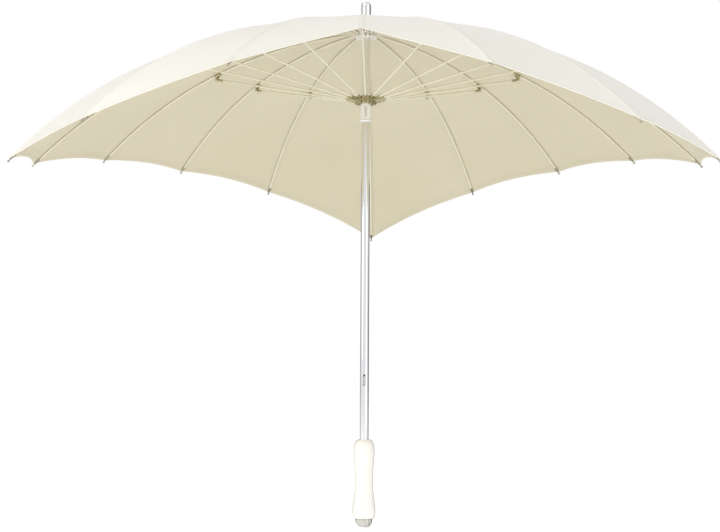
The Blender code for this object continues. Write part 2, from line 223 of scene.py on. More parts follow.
class Shader:
    """A node material under construction, with short names for the nodes that the materials share."""

    def __init__(self, name, roughness, metallic=0.0, **sockets):
        self.material = bpy.data.materials.new(name)
        self.material.use_nodes = True
        self.tree = self.material.node_tree
        self.shader = self.tree.nodes["Principled BSDF"]
        for socket, value in dict(Roughness=roughness, Metallic=metallic, **sockets).items():
            self.shader.inputs[socket.replace("_", " ")].default_value = value

    def node(self, kind, inputs=None, **settings):
        made = self.tree.nodes.new(kind)
        for name, value in settings.items():
            setattr(made, name, value)
        for name, value in (inputs or {}).items():
            socket = made.inputs[name]
            if isinstance(value, bpy.types.NodeSocket):
                self.tree.links.new(value, socket)
            else:
                socket.default_value = value
        return made

    def math(self, operation, *values):
        inputs = dict(enumerate(values))
        return self.node("ShaderNodeMath", inputs, operation=operation).outputs[0]

    def noise(self, vector, scale, detail=3.0, roughness=0.55):
        inputs = {"Vector": vector, "Scale": scale, "Detail": detail, "Roughness": roughness}
        return self.node("ShaderNodeTexNoise", inputs).outputs["Fac"]

    def stretched(self, vector, scale):
        inputs = {"Vector": vector, "Scale": scale}
        return self.node("ShaderNodeMapping", inputs).outputs["Vector"]

    def place(self):
        return self.node("ShaderNodeTexCoord").outputs["Object"]

    def uv(self, name):
        return self.node("ShaderNodeUVMap", uv_map=name).outputs["UV"]

    def remap(self, value, low, high, to_low, to_high):
        inputs = {"Value": value, "From Min": low, "From Max": high, "To Min": to_low, "To Max": to_high}
        return self.node("ShaderNodeMapRange", inputs).outputs["Result"]

    def mix(self, factor, first, second):
        made = self.node("ShaderNodeMix", data_type="RGBA")
        for index, value in ((0, factor), (6, first), (7, second)):
            if isinstance(value, bpy.types.NodeSocket):
                self.tree.links.new(value, made.inputs[index])
            else:
                made.inputs[index].default_value = value if index == 0 else (*value, 1)
        return made.outputs[2]

    def color(self, value):
        self.tree.links.new(value, self.shader.inputs["Base Color"])

    def rough(self, value):
        self.tree.links.new(value, self.shader.inputs["Roughness"])

    def bump(self, height, distance, strength=1.0):
        inputs = {"Height": height, "Distance": distance, "Strength": strength}
        normal = self.node("ShaderNodeBump", inputs).outputs["Normal"]
        self.tree.links.new(normal, self.shader.inputs["Normal"])

    def band(self, value, centre, half_width):
        """1 where value is within half_width of centre, and 0 elsewhere."""
        away = self.math("ABSOLUTE", self.math("SUBTRACT", value, centre))
        return self.math("LESS_THAN", away, half_width)

    def dashes(self, along, pitch, share):
        return self.math("LESS_THAN", self.math("FRACT", self.math("DIVIDE", along, pitch)), share)


def cloth_material(name, light, dark, thread, sheen):
    """Plain weave with its two seams' stitching, slow shade changes, painted shadow lines along the seams'
    and the hem's folded edges, and puckers beside the seams.
    """
    paint = Shader(name, 0.8, Sheen_Weight=sheen, Sheen_Roughness=0.45, Specular_IOR_Level=0.25)
    sewn = paint.node("ShaderNodeSeparateXYZ", {"Vector": paint.uv("sewn")}).outputs
    hem = paint.node("ShaderNodeSeparateXYZ", {"Vector": paint.uv("hem")}).outputs
    across, along = paint.math("ABSOLUTE", sewn[0]), sewn[1]

    turn = 2 * math.pi / THREAD_PITCH
    warp = paint.math("SINE", paint.math("MULTIPLY", sewn[0], turn))
    weft = paint.math("SINE", paint.math("MULTIPLY", along, turn))
    weave = paint.math("MULTIPLY", warp, weft)

    seam = paint.math(
        "MULTIPLY",
        paint.band(across, SEAM_STITCH_OFFSET, 0.00035),
        paint.dashes(along, STITCH_PITCH, 0.66),
    )
    edge = paint.math(
        "MULTIPLY",
        paint.band(hem[1], HEM_STITCH_OFFSET, 0.0004),
        paint.dashes(hem[0], STITCH_PITCH, 0.66),
    )
    stitches = paint.math("MAXIMUM", seam, edge)
    fold = paint.math(
        "MAXIMUM",
        paint.band(across, SEAM_HALF_WIDTH, 0.00045),
        paint.band(hem[1], HEM_WIDTH, 0.0005),
    )

    place = paint.place()
    slow = paint.noise(place, 5.0, 3.0)
    slub = paint.noise(paint.stretched(paint.uv("sewn"), (900, 60, 1)), 1.0, 2.0)
    shade = paint.math("ADD", paint.math("MULTIPLY", slow, 0.7), paint.math("MULTIPLY", slub, 0.3))
    tone = paint.mix(paint.remap(shade, 0.35, 0.65, 0.0, 1.0), dark, light)
    # Painted shadow: the colour goes darker in a thin line along each seam's and the hem's folded edge.
    fold_shadowed = paint.mix(paint.math("MULTIPLY", fold, 0.22), tone, tuple(0.80 * c for c in dark))
    paint.color(paint.mix(paint.math("MULTIPLY", stitches, 0.8), fold_shadowed, thread))
    paint.rough(paint.remap(slub, 0.3, 0.7, 0.72, 0.88))

    near = paint.remap(across, 0.0, 0.030, 1.0, 0.0)
    pucker = paint.noise(paint.stretched(paint.uv("sewn"), (20, 90, 1)), 1.0, 1.0)
    height = paint.math("ADD", paint.math("MULTIPLY", weave, 0.02), paint.math("MULTIPLY", stitches, 0.3))
    height = paint.math("ADD", height, paint.math("MULTIPLY", paint.math("MULTIPLY", pucker, near), 1.2))
    paint.bump(height, 0.0006)
    return paint.material


def rod_material(name):
    """Ivory enamel on a thin rod, with a faint draw grain and rubbed, slightly darker patches."""
    paint = Shader(name, 0.4, Coat_Weight=0.25, Coat_Roughness=0.2)
    place = paint.place()
    patch = paint.noise(place, 40.0, 4.0)
    grain = paint.noise(paint.stretched(place, (300, 300, 300)), 4.0, 2.0)
    paint.color(paint.mix(paint.remap(patch, 0.35, 0.7, 0.0, 1.0), (0.83, 0.79, 0.65), (0.77, 0.73, 0.58)))
    paint.rough(paint.remap(grain, 0.2, 0.8, 0.32, 0.52))
    paint.bump(grain, 0.00008, 0.6)
    return paint.material


def metal_material(name, light, dark, low, high, brush, patch_scale=60.0, bump=0.00006, metallic=1.0):
    """Metal of roughness low to high, with streaks stretched by brush and patches of a darker film."""
    paint = Shader(name, low, metallic)
    place = paint.place()
    streak = paint.noise(paint.stretched(place, brush), 1.0, 3.0, 0.6)
    patch = paint.noise(place, patch_scale, 4.0, 0.6)
    paint.color(paint.mix(paint.remap(patch, 0.38, 0.68, 0.0, 1.0), light, dark))
    both = paint.math("ADD", paint.math("MULTIPLY", streak, 0.65), paint.math("MULTIPLY", patch, 0.35))
    paint.rough(paint.remap(both, 0.3, 0.7, low, high))
    paint.bump(streak, bump, 0.5)
    return paint.material


def handle_material(name):
    """Turned ivory lacquer: faint lathe rings, slow colour changes, and a warmer tone at the ends."""
    paint = Shader(name, 0.2, Coat_Weight=0.7, Coat_Roughness=0.06, Specular_IOR_Level=0.5)
    place = paint.place()
    height = paint.node("ShaderNodeSeparateXYZ", {"Vector": place}).outputs[2]
    ring = paint.noise(paint.stretched(place, (6, 6, 700)), 1.0, 3.0)
    patch = paint.noise(place, 26.0, 4.0)
    tone = paint.mix(paint.remap(patch, 0.35, 0.65, 0.0, 1.0), (0.95, 0.94, 0.905), (0.91, 0.895, 0.85))
    ends = paint.math(
        "MAXIMUM",
        paint.remap(height, HANDLE_ENDS[1] - 0.009, HANDLE_ENDS[1], 0.0, 0.5),
        paint.remap(height, HANDLE_ENDS[0] + 0.0045, HANDLE_ENDS[0], 0.0, 0.5),
    )
    paint.color(paint.mix(ends, tone, (0.80, 0.765, 0.68)))
    paint.rough(paint.remap(ring, 0.3, 0.7, 0.14, 0.30))
    paint.bump(ring, 0.00005, 0.5)
    return paint.material


def thread_material(name):
    """Twisted cotton thread, fuzzy and uneven in tone."""
    paint = Shader(name, 0.85, Sheen_Weight=0.2, Specular_IOR_Level=0.2)
    place = paint.place()
    twist = paint.noise(place, 2500.0, 2.0)
    patch = paint.noise(place, 200.0, 3.0)
    paint.color(paint.mix(paint.remap(patch, 0.35, 0.65, 0.0, 1.0), (0.76, 0.71, 0.60), (0.84, 0.80, 0.70)))
    paint.rough(paint.remap(twist, 0.3, 0.7, 0.75, 0.92))
    paint.bump(twist, 0.0001, 0.6)
    return paint.material


CLOTH_OUT = cloth_material(
    "cloth_outside", (0.935, 0.912, 0.832), (0.91, 0.884, 0.795), (0.84, 0.80, 0.69), 0.25,
)
# Painted shade: the underside is the same cloth as the outside, coloured darker and yellower for the shade
# under the canopy.
CLOTH_IN_SHADED = cloth_material(
    "cloth_underside_painted_shade", (0.668, 0.619, 0.476), (0.634, 0.585, 0.441), (0.59, 0.54, 0.40), 0.12,
)
ROD = rod_material("ivory_enamel")
BRASS = metal_material(
    "aged_brass", (0.64, 0.58, 0.37), (0.36, 0.32, 0.18), 0.26, 0.46, (400, 400, 400), 220.0,
)
TIP_METAL = metal_material(
    "tip_metal", (0.60, 0.56, 0.46), (0.36, 0.33, 0.26), 0.24, 0.42, (400, 400, 400), 260.0,
)
ALUMINIUM = metal_material(
    "drawn_aluminium", (0.88, 0.885, 0.90), (0.84, 0.845, 0.86), 0.08, 0.12, (500, 500, 4), 14.0, 0.000004,
)
NICKEL = metal_material(
    "bright_nickel", (0.96, 0.96, 0.955), (0.92, 0.92, 0.915), 0.16, 0.24, (500, 500, 8), 30.0, 0.000006,
    metallic=0.28,
)
CHROME = metal_material(
    "bright_chrome", (0.86, 0.86, 0.855), (0.78, 0.78, 0.78), 0.05, 0.12, (120, 120, 500), 60.0, 0.00001,
)
CAP_METAL = metal_material(
    "cap_metal", (0.66, 0.65, 0.63), (0.54, 0.53, 0.51), 0.10, 0.20, (500, 500, 500), 120.0, 0.00001,
)
STEEL = metal_material("pin_steel", (0.86, 0.85, 0.80), (0.74, 0.73, 0.68), 0.14, 0.28, (500, 500, 500))
LACQUER = handle_material("ivory_lacquer")
THREAD = thread_material("tie_thread")


# Mesh helpers

def add_piece(name, mesh, material, body=None, replaces=()):
    """A new shown piece around mesh, riding on body where one is given."""
    piece = bpy.data.objects.new(name, mesh)
    bpy.context.scene.collection.objects.link(piece)
    if material:
        mesh.materials.append(material)
    if body:
        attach(piece, body)
    if replaces:
        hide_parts(*replaces)
    return piece


def smooth(mesh):
    mesh.shade_smooth()
    mesh.set_sharp_from_angle(angle=math.radians(40))


def mesh_from(work, name):
    """Ends a bmesh as a smooth mesh whose faces point outwards."""
    mesh = bpy.data.meshes.new(name)
    bmesh.ops.recalc_face_normals(work, faces=work.faces)
    work.to_mesh(mesh)
    work.free()
    smooth(mesh)
    return mesh


def tube(work, path, radii, sides=12, flatten=None):
    """A closed tube through these points. flatten maps a point's number to (across, up) scales."""
    rings = []
    for number, point in enumerate(path):
        before, after = path[max(number - 1, 0)], path[min(number + 1, len(path) - 1)]
        along = (after - before).normalized()
        side = Vector((0, 1, 0))
        if abs(along.y) > 0.9:
            side = Vector((1, 0, 0))
        up = side.cross(along).normalized()
        side = along.cross(up)
        wide, tall = flatten(number) if flatten else (1, 1)
        ring = []
        for step in range(sides):
            turn = 2 * math.pi * step / sides
            offset = side * math.cos(turn) * wide + up * math.sin(turn) * tall
            ring.append(work.verts.new(point + offset * radii[number]))
        rings.append(ring)
    for first, second in zip(rings, rings[1:]):
        for step in range(sides):
            other = (step + 1) % sides
            work.faces.new((first[step], first[other], second[other], second[step]))
    work.faces.new(rings[0])
    work.faces.new(rings[-1])


def lathe(profile, sides=64):
    """A closed turned body from (radius, height) pairs that start and end on the axis or meet."""
    work = bmesh.new()
    rings = []
    for radius, height in profile:
        if radius == 0:
            rings.append([work.verts.new((0, 0, height))])
            continue
        rings.append([
            work.verts.new((radius * math.cos(turn), radius * math.sin(turn), height))
            for turn in (2 * math.pi * step / sides for step in range(sides))
        ])
    if profile[0][0] and profile[-1][0]:
        rings.append(rings[0])
    for first, second in zip(rings, rings[1:]):
        for step in range(sides):
            other = (step + 1) % sides
            corners = (
                first[step % len(first)], first[other % len(first)],
                second[other % len(second)], second[step % len(second)],
            )
            work.faces.new(tuple(dict.fromkeys(corners)))
    return work


def curve_through(points, steps):
    """Points on a smooth curve through the given (radius, height) pairs."""
    points = [np.array(p, float) for p in points]
    padded = [2 * points[0] - points[1], *points, 2 * points[-1] - points[-2]]
    found = []
    for a, b, c, d in zip(padded, padded[1:], padded[2:], padded[3:]):
        for step in range(steps):
            t = step / steps
            found.append(0.5 * (
                2 * b + (c - a) * t + (2 * a - 5 * b + 4 * c - d) * t**2 + (3 * b - a - 3 * c + d) * t**3
            ))
    return [tuple(p) for p in [*found, points[-1]]]


# Canopy

def scallop_of(gore):
    """How far the hem of the gore between spoke number gore and the next is drawn in, as a share."""
    return NOTCH_SCALLOP if gore % SPOKES in (0, SPOKES - 1) else SCALLOP


def row_share(row):
    """Rows are evenly spread but for the last three, which mark out the hem."""
    body = ROWS - len(HEM_ROWS)
    if row <= body:
        return row / body * (1 - HEM_SHARE)
    return 1 - HEM_SHARE * (1 - HEM_ROWS[row - body - 1])


def cloth_point(index, side, share, out):
    """A point of the cloth: share runs from 0 at spoke index to 1 at the next one on that side.

    out runs from 0 at the hole in the middle to 1 at the hem.
    """
    drawn = scallop_of(index if side > 0 else index - 1) * 4 * share * (1 - share)
    ends = []
    for spoke in (index, index + side):
        edge = reach_of(spoke) - HEM_SETBACK
        radius = CLOTH_HOLE + (edge * (1 - drawn) - CLOTH_HOLE) * out
        turn = angle_of(spoke)
        ends.append(np.array((
            radius * math.cos(turn),
            radius * math.sin(turn),
            FABRIC_TOP - CLOTH_LIFT - drop(radius),
        )))
    point = ends[0] * (1 - share) + ends[1] * share
    # Cloth pulled tight over curved ribs lies a little lower between them.
    point[2] -= GORE_SAG * 4 * share * (1 - share) * math.sin(math.pi * min(out, 1) * 0.85)
    return point


def cloth_normal(index, side, share, out):
    """The cloth's upward unit normal. Over a rib it is the mean of the two gores' normals."""
    step = 1e-3
    total = np.zeros(3)
    for way in ((side, -side) if share == 0 else (side,)):
        before, after = (cloth_point(index, way, max(share + x, 0), out) for x in (-step, step))
        around = after - before
        along = cloth_point(index, way, share, out + step) - cloth_point(index, way, share, out - step)
        normal = np.cross(along, around) * way
        total += normal / np.linalg.norm(normal)
    return total / np.linalg.norm(total)


def column_share(column, width):
    """The share of a gore's width at this column, counted from the rib to the middle of the gore."""
    last = len(SEAM_COLUMNS) - 1
    if column <= last:
        return min(SEAM_COLUMNS[column] * SEAM_HALF_WIDTH / width, 0.06 * column)
    start = min(SEAM_COLUMNS[-1] * SEAM_HALF_WIDTH / width, 0.06 * last)
    return start + (0.5 - start) * (column - last) / HALF_COLUMNS


def flex_share(radius):
    """How far a point of the cloth at this radius follows the lower rib and not the upper one."""
    share = min(max((radius - FLEX_PIVOT.x) / SKIN_ZONE + 0.5, 0), 1)
    return share * share * (3 - 2 * share)


def cloth_grid(index):
    """Each point of the cloth over one rib, row by row: where its two faces are, and what it is near."""
    reach = len(SEAM_COLUMNS) - 1 + HALF_COLUMNS
    columns = range(-reach, reach + 1)
    grid = []
    for row in range(ROWS + 1):
        out = row_share(row)
        line = []
        for number, column in enumerate(columns):
            side = 1 if column >= 0 else -1
            ends = [cloth_point(index, side, share, out) for share in (0, 1)]
            width = float(np.linalg.norm(ends[1] - ends[0]))
            share = column_share(abs(column), width)
            point = cloth_point(index, side, share, out)
            normal = cloth_normal(index, side, share, out)
            away = share * width
            before = grid[-1][number] if grid else None
            along = before["along"] + float(np.linalg.norm(point - before["point"])) if before else 0.0
            ridge = SEAM_HEIGHT if away < SEAM_HALF_WIDTH else 0.0
            fold = HEM_FOLD if row > ROWS - len(HEM_ROWS) else 0.0
            fold += SEAM_ALLOWANCE if away < SEAM_HALF_WIDTH else 0.0
            line.append({
                "point": point, "outer": point + normal * ridge,
                "inner": point - normal * (CLOTH_THICKNESS + fold),
                "side": side, "share": share, "away": side * away, "along": along,
                "out": flex_share(math.hypot(point[0], point[1])),
            })
        grid.append(line)
    return grid


def cloth_mesh(index):
    """The cloth over one rib, out to the middle of the gore on each side, as a thin closed body.

    Returns the mesh, the area of its underside, and the names of its skin weights.
    """
    grid = cloth_grid(index)
    rows, count = len(grid), len(grid[0])
    work = bmesh.new()
    outer = [[work.verts.new(cell["outer"]) for cell in line] for line in grid]
    inner = [[work.verts.new(cell["inner"]) for cell in line] for line in grid]
    sewn, hem = (work.loops.layers.uv.new(name) for name in ("sewn", "hem"))
    cells = {}
    for layer in (outer, inner):
        for row, line in enumerate(layer):
            for column, vert in enumerate(line):
                cells[vert] = (row, column)

    def face(corners, material):
        made = work.faces.new(corners)
        made.material_index = material
        made.smooth = True
        for loop in made.loops:
            row, column = cells[loop.vert]
            cell = grid[row][column]
            loop[sewn].uv = (cell["away"], cell["along"])
            loop[hem].uv = (cell["away"], grid[-1][column]["along"] - cell["along"])
        return made

    for r in range(rows - 1):
        for c in range(count - 1):
            face((outer[r][c], outer[r + 1][c], outer[r + 1][c + 1], outer[r][c + 1]), 0)
            face((inner[r][c], inner[r][c + 1], inner[r + 1][c + 1], inner[r + 1][c]), 1)
    border = [(0, c) for c in range(count - 1)] + [(r, count - 1) for r in range(rows - 1)]
    border += [(rows - 1, c) for c in range(count - 1, 0, -1)] + [(r, 0) for r in range(rows - 1, 0, -1)]
    for (r0, c0), (r1, c1) in zip(border, border[1:] + border[:1]):
        rim = face((outer[r0][c0], outer[r1][c1], inner[r1][c1], inner[r0][c0]), 0)
        for edge in rim.edges:
            edge.smooth = False
    name = f"canopy_cloth_{index + 1:02d}"
    mesh = bpy.data.meshes.new(name)
    work.to_mesh(mesh)
    work.free()
    area = sum(face.area for face in mesh.polygons if face.material_index == 1)
    return mesh, area, set_skin_weights(mesh, [cell for line in grid for cell in line])


def set_skin_weights(mesh, cells):
    """Stores where each point rests and how far it follows each rib half, outer points first."""
    rest = np.array([v.co for v in mesh.vertices], np.float32)
    mesh.attributes.new("rest", "FLOAT_VECTOR", "POINT").data.foreach_set("vector", rest.ravel())
    shares = np.tile([cell["share"] for cell in cells], 2).astype(np.float32)
    mesh.attributes.new("share", "FLOAT", "POINT").data.foreach_set("value", shares)
    weights = {}
    for number, cell in enumerate(cells):
        for offset, portion in ((0, 1 - cell["share"]), (cell["side"], cell["share"])):
            for part, amount in (("rib_upper", 1 - cell["out"]), ("rib_lower", cell["out"])):
                values = weights.setdefault((part, offset), np.zeros(len(cells)))
                values[number] += portion * amount
    for (part, offset), values in weights.items():
        attribute = mesh.attributes.new(f"{part}{offset:+d}", "FLOAT", "POINT")
        attribute.data.foreach_set("value", np.tile(values, 2).astype(np.float32))
    return sorted(weights)


class Nodes:
    """A geometry node tree under construction."""

    def __init__(self, name):
        self.group = bpy.data.node_groups.new(name, "GeometryNodeTree")
        for way in ("INPUT", "OUTPUT"):
            self.group.interface.new_socket("Geometry", in_out=way, socket_type="NodeSocketGeometry")

    def put(self, kind, *values, **settings):
        """Adds a node whose first inputs are these sockets or constants."""
        node = self.group.nodes.new(kind)
        for name, value in settings.items():
            setattr(node, name, value)
        for socket, value in zip([s for s in node.inputs if s.enabled], values):
            if isinstance(value, bpy.types.NodeSocket):
                self.group.links.new(value, socket)
            else:
                socket.default_value = value
        return next(s for s in node.outputs if s.enabled)

    def named(self, kind, name):
        return self.put("GeometryNodeInputNamedAttribute", name, data_type=kind)

    def number(self, operation, *values):
        return self.put("ShaderNodeMath", *values, operation=operation)

    def vector(self, operation, *values):
        return self.put("ShaderNodeVectorMath", *values, operation=operation)

    def times(self, *values):
        total = values[0]
        for value in values[1:]:
            total = self.number("MULTIPLY", total, value)
        return total


def skin_group(index, keys):
    """Nodes that hold each point of the cloth to the ribs on both sides of it, and take up its slack."""
    tree = Nodes(f"cloth_skin_{index + 1:02d}")
    rest = tree.named("FLOAT_VECTOR", "rest")
    held = None
    for part, offset in keys:
        info = tree.group.nodes.new("GeometryNodeObjectInfo")
        info.transform_space = "ORIGINAL"
        info.inputs["Object"].default_value = frame["bodies"][spoke_body(part, index + offset)]
        moved = tree.put("FunctionNodeTransformPoint", rest, info.outputs["Transform"])
        weighted = tree.vector("SCALE", moved, tree.named("FLOAT", f"{part}{offset:+d}"))
        held = tree.vector("ADD", held, weighted) if held else weighted

    # The slack is the depth of a fold that keeps the gore as wide as it is when the ribs are open.
    open_radius, radius = (
        tree.vector("LENGTH", tree.vector("MULTIPLY", point, (1, 1, 0))) for point in (rest, held)
    )
    lost = tree.number("SUBTRACT", tree.times(open_radius, open_radius), tree.times(radius, radius))
    lost = tree.number("MAXIMUM", tree.number("SUBTRACT", lost, SLACK_FLOOR), 0.0)
    slack = tree.times(tree.number("SQRT", lost), math.tan(math.pi / SPOKES))
    shrunk = tree.number("SUBTRACT", 1.0, tree.number("DIVIDE", radius, open_radius))
    roll = tree.put(
        "ShaderNodeMapRange", shrunk, ROLL_FROM, ROLL_TO, 0.0, 1.0, interpolation_type="SMOOTHSTEP",
    )

    # A rolled fold lies on a spiral, whose radius grows with the length of the cloth along it.
    share = tree.named("FLOAT", "share")
    length = tree.times(slack, share, 2.0)
    grown = tree.times(length, ROLL_GROWTH)
    spiral = tree.number("LOGARITHM", tree.number("ADD", 1.0, tree.number("DIVIDE", grown, radius)), math.e)
    turn = tree.times(spiral, roll, 1 / ROLL_GROWTH)
    across = tree.number("SINE", tree.times(share, math.pi))
    sag = tree.times(slack, across, tree.number("SUBTRACT", 1.0, roll))
    rolled = tree.number("ADD", radius, tree.times(grown, roll))
    wide = tree.number("DIVIDE", tree.number("SUBTRACT", rolled, tree.times(sag, SAG_IN)), radius)
    turned = tree.put("ShaderNodeVectorRotate", held, (0, 0, 0), turn, rotation_type="Z_AXIS")
    lower = tree.put("ShaderNodeCombineXYZ", 0.0, 0.0, tree.times(sag, -SAG_DOWN))
    point = tree.vector("MULTIPLY_ADD", turned, tree.put("ShaderNodeCombineXYZ", wide, wide, 1.0), lower)

    start, end = (tree.group.nodes.new(kind) for kind in ("NodeGroupInput", "NodeGroupOutput"))
    place = tree.group.nodes.new("GeometryNodeSetPosition")
    tree.group.links.new(start.outputs[0], place.inputs["Geometry"])
    tree.group.links.new(point, place.inputs["Position"])
    tree.group.links.new(place.outputs[0], end.inputs[0])
    return tree.group


def make_canopy():
    """The cover: one sheet of cloth over each rib, blended across the rib's bend and held by the skin."""
    for index in range(SPOKES):
        mesh, area, keys = cloth_mesh(index)
        piece = add_piece(f"canopy_cloth_{index + 1:02d}", mesh, CLOTH_OUT)
        mesh.materials.append(CLOTH_IN_SHADED)
        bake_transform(piece)
        skin = piece.modifiers.new("skin", "NODES")
        skin.node_group = skin_group(index, keys)
        reach = reach_of(index) - HEM_SETBACK
        if index == 0:
            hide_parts("canopy")


# Spokes

def spoke_piece(name, index, work, material, body, replaces=()):
    """A piece drawn in the plane of X and Z, turned to its spoke."""
    mesh = mesh_from(work, name)
    mesh.transform(spin_of(index))
    return add_piece(name, mesh, material, body, replaces)


def make_rib(index):
    """One springy rod from the notch to the tip, shown in place of both halves of the rib."""
    reach = reach_of(index)
    span = reach - (TIP_LENGTH - ROD_LAP) * math.cos(slope(reach)) - ROD_BEND
    first = rib_point(ROD_BEND, ROD_DEPTH)
    path = [NOTCH_PIVOT + (first - NOTCH_PIVOT) * share for share in (0.0, 0.22, 0.40, 0.60)]
    count = round(span / ROD_STEP)
    path += [rib_point(ROD_BEND + span * step / count, ROD_DEPTH) for step in range(count + 1)]
    root = ((0.45, 0.75), (0.48, 0.85), (0.7, 1.0))
    work = bmesh.new()
    tube(work, path, [RIB_RADIUS] * len(path), 12, lambda n: root[n] if n < len(root) else (1, 1))
    rib = spoke_piece(f"rib_rod_{index + 1:02d}", index, work, ROD, None)
    upper, lower = spoke_body("rib_upper", index), spoke_body("rib_lower", index)
    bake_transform(rib)
    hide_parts(upper, lower)


def ball(work, centre, radius):
    place = Matrix.Translation(centre)
    bmesh.ops.create_uvsphere(work, u_segments=16, v_segments=10, radius=radius, matrix=place)


def make_tip(index):
    """The small brass cup and ball that the corner of the hem is sewn to."""
    reach = reach_of(index)
    lean = slope(reach)
    along = Vector((math.cos(lean), 0, -math.sin(lean)))
    start = rib_point(reach - TIP_LENGTH * math.cos(lean), ROD_DEPTH)
    places = (-0.003, -0.0024, 0.002, 0.0045, 0.0065, 0.0090, TIP_LENGTH - TIP_BALL)
    radii = (0.0019, 0.0021, 0.0021, 0.0015, 0.0012, 0.0010, 0.0009)
    work = bmesh.new()
    tube(work, [start + along * x for x in places], radii, 16)
    ball(work, start + along * (TIP_LENGTH - TIP_BALL), TIP_BALL)
    body = spoke_body("rib_lower", index)
    spoke_piece(f"rib_tip_{index + 1:02d}", index, work, TIP_METAL, body)


def make_bracket(index):
    """The folded brass link that clips the stretcher to the rib, with its rivet."""
    work = bmesh.new()
    places = (-0.0125, -0.0120, -0.0100, -0.0075, -0.0045, -0.0010, -0.0005)
    radii = (0.0020, 0.0024, 0.0025, 0.0023, 0.0026, 0.0026, 0.0022)
    tube(work, [FLEX_PIVOT + JOINT_ALONG * x for x in places], radii, 16)
    for side in (-1, 1):
        outline = []
        for step in range(9):
            turn = math.pi * step / 8
            outline.append(JOINT_PIVOT + JOINT_ALONG * CHEEK_RADIUS * math.cos(turn)
                           + JOINT_DOWN * CHEEK_RADIUS * math.sin(turn))
        outline += [FLEX_PIVOT - JOINT_ALONG * 0.0095 + JOINT_DOWN * 0.0012,
                    FLEX_PIVOT - JOINT_ALONG * 0.0015 + JOINT_DOWN * 0.0012]
        layers = [
            [work.verts.new(p + Vector((0, side * (CHEEK_OFFSET + depth), 0))) for p in outline]
            for depth in (-CHEEK_HALF_THICKNESS, CHEEK_HALF_THICKNESS)
        ]
        work.faces.new(layers[0])
        work.faces.new(layers[1])
        for step in range(len(outline)):
            other = (step + 1) % len(outline)
            work.faces.new((layers[0][step], layers[0][other], layers[1][other], layers[1][step]))
    spoke_piece(f"rib_link_{index + 1:02d}", index, work, BRASS, spoke_body("rib_upper", index))

    rivet = bmesh.new()
    reach = Vector((0, 0.0030, 0))
    tube(rivet, [JOINT_PIVOT + reach * x for x in (-1, -0.92, -0.62, 0.62, 0.92, 1)],
         (0.0009, 0.0015, 0.0016, 0.0016, 0.0015, 0.0009), 14)
    ball(rivet, JOINT_PIVOT + JOINT_DOWN * 0.0026, 0.0024)
    spoke_piece(f"rib_rivet_{index + 1:02d}", index, rivet, STEEL, spoke_body("rib_upper", index))


def make_stretcher(index):
    """The rod from the link to the runner, hammered flat where its two ends are pierced, and its sheaths."""
    along = (RUNNER_PIVOT - JOINT_PIVOT).normalized()
    length = (RUNNER_PIVOT - JOINT_PIVOT).length
    ends = (-0.0016, 0.0, 0.004, 0.008, 0.012)
    places = [*ends, *np.linspace(0.03, length - 0.03, 8), *(length - x for x in reversed(ends))]
    narrow = (0.35, 0.42, 0.45, 0.6, 0.9)

    def flatten(number):
        from_end = min(number, len(places) - 1 - number)
        wide = narrow[from_end] if from_end < len(narrow) else 1
        return wide, 1 + (1 - wide) * 0.5

    work = bmesh.new()
    tube(work, [JOINT_PIVOT + along * x for x in places], [STRETCHER_RADIUS] * len(places), 12, flatten)
    body = spoke_body("stretcher", index)
    spoke_piece(f"stretcher_rod_{index + 1:02d}", index, work, ROD, body, [body])

    # Each end is held in a brass sheath that opens into the flat, pierced end.
    sheaths = bmesh.new()
    depths = (0.0195, 0.0190, 0.0150, 0.0145, 0.0110, 0.0070, 0.0040)
    radii = (0.0018, 0.0022, 0.0022, 0.0020, 0.0020, 0.0020, 0.0018)
    widths = (1, 1, 1, 1, 0.8, 0.5, 0.45)
    for pivot, way, size in ((RUNNER_PIVOT, -1, 1.0), (JOINT_PIVOT, 1, 0.72)):
        path = [pivot + along * way * size * x for x in depths]
        tube(sheaths, path, radii, 14, lambda number: (widths[number], 1))
    spoke_piece(f"stretcher_ends_{index + 1:02d}", index, sheaths, BRASS, body)


def make_ties(index):
    """Thread wound round the rib where the seam of the cloth is tacked to it."""
    outer_tie = 0.5 * (OUTER_TIE_FROM + reach_of(index) - OUTER_TIE_TIP_GAP)
    for part, places in (("rib_upper", TIE_RADII), ("rib_lower", (outer_tie,))):
        work = bmesh.new()
        for radius in places:
            lean = slope(radius)
            along = Vector((math.cos(lean), 0, -math.sin(lean)))
            up = Vector((math.sin(lean), 0, math.cos(lean)))
            centre = rib_point(radius, ROD_DEPTH)
            path = []
            for step in range(TIE_STEPS + 1):
                share = step / TIE_STEPS
                turn = 2 * math.pi * TIE_TURNS * share
                out = RIB_RADIUS + THREAD_LIFT
                stretch = 1.35 if math.cos(turn) > 0.5 else 1
                path.append(centre + along * (share - 0.5) * TIE_WIDTH
                            + up * math.cos(turn) * out * stretch + Vector((0, math.sin(turn) * out, 0)))
            tube(work, path, [THREAD_RADIUS] * len(path), 6)
        name = f"tie_{part}_{index + 1:02d}"
        spoke_piece(name, index, work, THREAD, spoke_body(part, index))


# Shaft and handle

